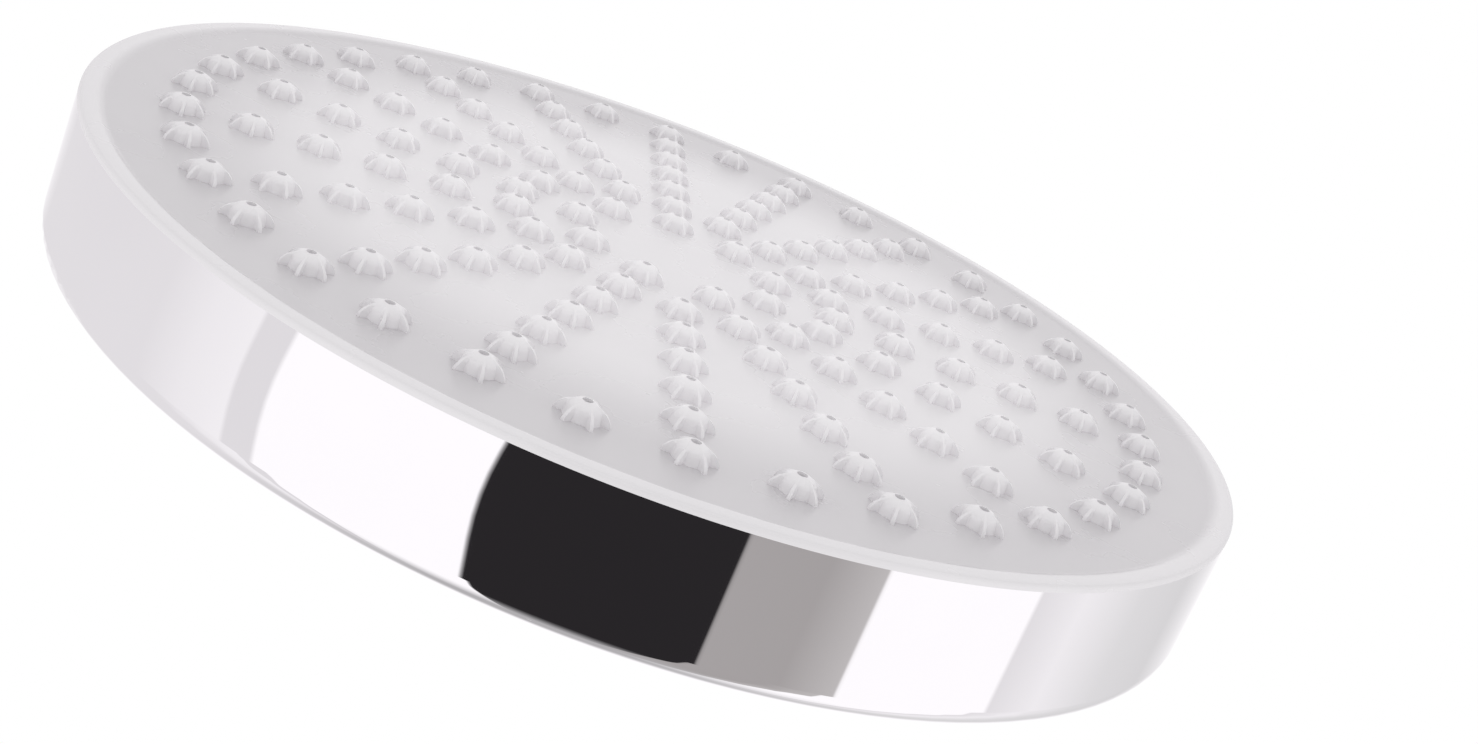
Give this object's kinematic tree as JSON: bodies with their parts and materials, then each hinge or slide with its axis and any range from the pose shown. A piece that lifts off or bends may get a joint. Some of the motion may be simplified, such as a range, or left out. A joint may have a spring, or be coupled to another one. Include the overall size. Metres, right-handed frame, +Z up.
{
  "type": "rain shower head",
  "caption": "Round chrome rain shower head with a frosted nozzle face, a ball-joint inlet nut, and lights and a water turbine inside.",
  "frame": {"origin": "centre of the inlet nut's open end, where the shower arm screws in", "axes": "+Z runs up out of the inlet along its thread; the spray face looks down, and X is the swivel's tilt axis"},
  "size_m": [0.2, 0.2, 0.0702],
  "materials": {
    "chrome": "polished chrome plate",
    "face_plastic": "frosted translucent plastic",
    "clear_plastic": "clear polycarbonate",
    "white_plastic": "white acetal",
    "rubber": "black moulded rubber",
    "steel": "stainless steel",
    "zinc": "zinc-plated steel",
    "board": "white solder mask",
    "light": "yellow phosphor in a white package",
    "component": "black moulded package",
    "case_plastic": "dark grey acetal",
    "wheel_plastic": "blue acetal",
    "magnet": "dark ferrite",
    "copper": "enamelled copper wire",
    "bronze": "sintered bronze"
  },
  "bodies": {
    "connector": {"ball_connector": "chrome", "inlet_washer": "rubber", "inlet_screen": "steel", "flow_regulator": "white_plastic"},
    "seat": {"ball_seat": "white_plastic"},
    "head": {"ball_seal": "rubber", "ball_collar": "chrome", "back_shell": "chrome", "spray_face": "face_plastic", "face_gasket": "rubber", "light_window": "clear_plastic", "window_seal": "rubber", "case_seal": "rubber", "light_board": "board", "lights": "light", "drive_parts": "component", "heat_sensor": "steel", "board_screws": "zinc", "turbine_case": "case_plastic", "turbine_cap": "white_plastic", "upper_bush": "bronze", "lower_bush": "bronze", "stator_core": "zinc", "stator_coil": "copper"},
    "turbine": {"rotor_shaft": "steel", "turbine_wheel": "wheel_plastic", "rotor_magnet": "magnet"}
  },
  "joints": [
    {"name": "swivel_turn", "type": "hinge", "parent": "connector", "child": "seat", "pos_m": [0, 0, -0.02427], "axis": [0, 0, 1], "continuous": true},
    {"name": "swivel_tilt", "type": "hinge", "parent": "seat", "child": "head", "pos_m": [0, 0, -0.02427], "axis": [1, 0, 0], "range_deg": [-20, 20]},
    {"name": "turbine_spin", "type": "hinge", "parent": "head", "child": "turbine", "pos_m": [0, 0, -0.05327], "axis": [0, 0, 1], "continuous": true}
  ]
}
